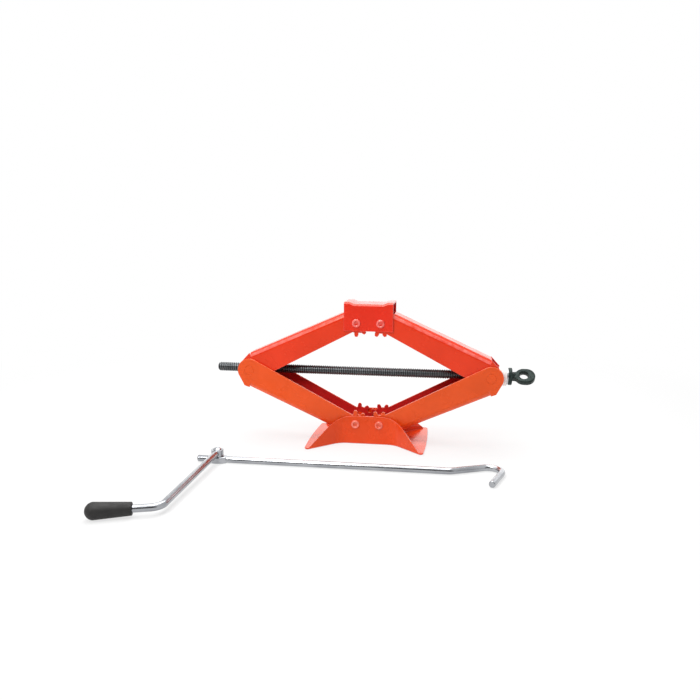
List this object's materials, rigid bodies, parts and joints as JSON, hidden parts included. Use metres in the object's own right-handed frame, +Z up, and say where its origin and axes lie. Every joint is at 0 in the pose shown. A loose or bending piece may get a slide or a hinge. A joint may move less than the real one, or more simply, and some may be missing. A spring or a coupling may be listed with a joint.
{
  "type": "scissor jack",
  "caption": "Red stamped-steel scissor jack, half raised on its flared base, with geared channel arms, a lead screw with a drive eye, and its hooked folding crank.",
  "frame": {"origin": "on the ground under the middle of the base, midway between the two base pivots", "axes": "+X along the screw towards the drive eye, +Y away from the side that the picture shows, +Z up"},
  "size_m": [0.4607, 0.3845, 0.1906],
  "materials": {
    "red_paint": "gloss orange-red enamel",
    "bare_steel": "bright turned steel",
    "white_nylon": "smooth white nylon",
    "black_steel": "oiled black oxide",
    "phosphate_forging": "dark phosphate",
    "bright_chrome": "bright plated",
    "black_grip": "matte moulded"
  },
  "bodies": {
    "base": {"base": "red_paint", "base_pin_left": "red_paint", "base_pin_right": "red_paint", "base_sleeve_left": "bare_steel", "base_sleeve_right": "bare_steel"},
    "lower_left": {"lower_left_arm": "red_paint"},
    "lower_right": {"lower_right_arm": "red_paint"},
    "upper_left": {"upper_left_arm": "red_paint"},
    "upper_right": {"upper_right_arm": "red_paint"},
    "saddle_group": {"saddle": "red_paint", "saddle_pin_left": "red_paint", "saddle_pin_right": "red_paint", "saddle_sleeve_left": "bare_steel", "saddle_sleeve_right": "bare_steel"},
    "nut": {"trunnion_nut": "red_paint"},
    "block": {"trunnion_block": "red_paint", "bearing_shield": "white_nylon", "seat_race": "bare_steel"},
    "screw": {"lead_screw": "black_steel", "drive_eye": "phosphate_forging", "ball_ring": "bare_steel", "turning_race": "bare_steel", "thrust_washer": "bare_steel"},
    "crank": {"crank_rod": "bright_chrome", "crank_rivet": "bright_chrome"},
    "crank_fold_arm": {"crank_arm": "bright_chrome", "crank_grip": "black_grip"}
  },
  "joints": [
    {"name": "lift", "type": "hinge", "parent": "base", "child": "lower_left", "pos_m": [-0.016, 0, 0.027], "axis": [0, 1, 0], "range_deg": [-19, 42]},
    {"name": "lower_right_fold", "type": "hinge", "parent": "base", "child": "lower_right", "pos_m": [0.016, 0, 0.027], "axis": [0, -1, 0], "range_deg": [-19, 42]},
    {"name": "nut_turn", "type": "hinge", "parent": "lower_left", "child": "nut", "pos_m": [-0.16192, 0, 0.09504], "axis": [0, -1, 0], "range_deg": [-19, 42]},
    {"name": "block_turn", "type": "hinge", "parent": "lower_right", "child": "block", "pos_m": [0.16192, 0, 0.09504], "axis": [0, 1, 0], "range_deg": [-19, 42]},
    {"name": "upper_left_fold", "type": "hinge", "parent": "lower_left", "child": "upper_left", "pos_m": [-0.16192, 0, 0.09504], "axis": [0, -1, 0], "range_deg": [-38, 84]},
    {"name": "upper_right_fold", "type": "hinge", "parent": "lower_right", "child": "upper_right", "pos_m": [0.16192, 0, 0.09504], "axis": [0, 1, 0], "range_deg": [-38, 84]},
    {"name": "saddle_level", "type": "hinge", "parent": "upper_left", "child": "saddle_group", "pos_m": [-0.016, 0, 0.16308], "axis": [0, 1, 0], "range_deg": [-19, 42]},
    {"name": "screw_turn", "type": "hinge", "parent": "block", "child": "screw", "pos_m": [0.16192, 0, 0.09504], "axis": [-1, 0, 0], "continuous": true},
    {"name": "crank_pick_up", "type": "slide", "parent": "base", "child": "crank", "axis": [0, 0, 1], "range_m": [0, 0.15]},
    {"name": "crank_fold", "type": "hinge", "parent": "crank", "child": "crank_fold_arm", "pos_m": [-0.172, -0.128, 0.0125], "axis": [0, 0, 1], "range_deg": [0, 84]}
  ],
  "couplings": [
    {"joint": "lower_right_fold", "follows": "lift", "ratio": 1},
    {"joint": "nut_turn", "follows": "lift", "ratio": 1},
    {"joint": "block_turn", "follows": "lift", "ratio": 1},
    {"joint": "upper_left_fold", "follows": "lift", "ratio": 2},
    {"joint": "upper_right_fold", "follows": "lift", "ratio": 2},
    {"joint": "saddle_level", "follows": "lift", "ratio": 1},
    {"joint": "screw_turn", "follows": "lift", "ratio": 382}
  ]
}
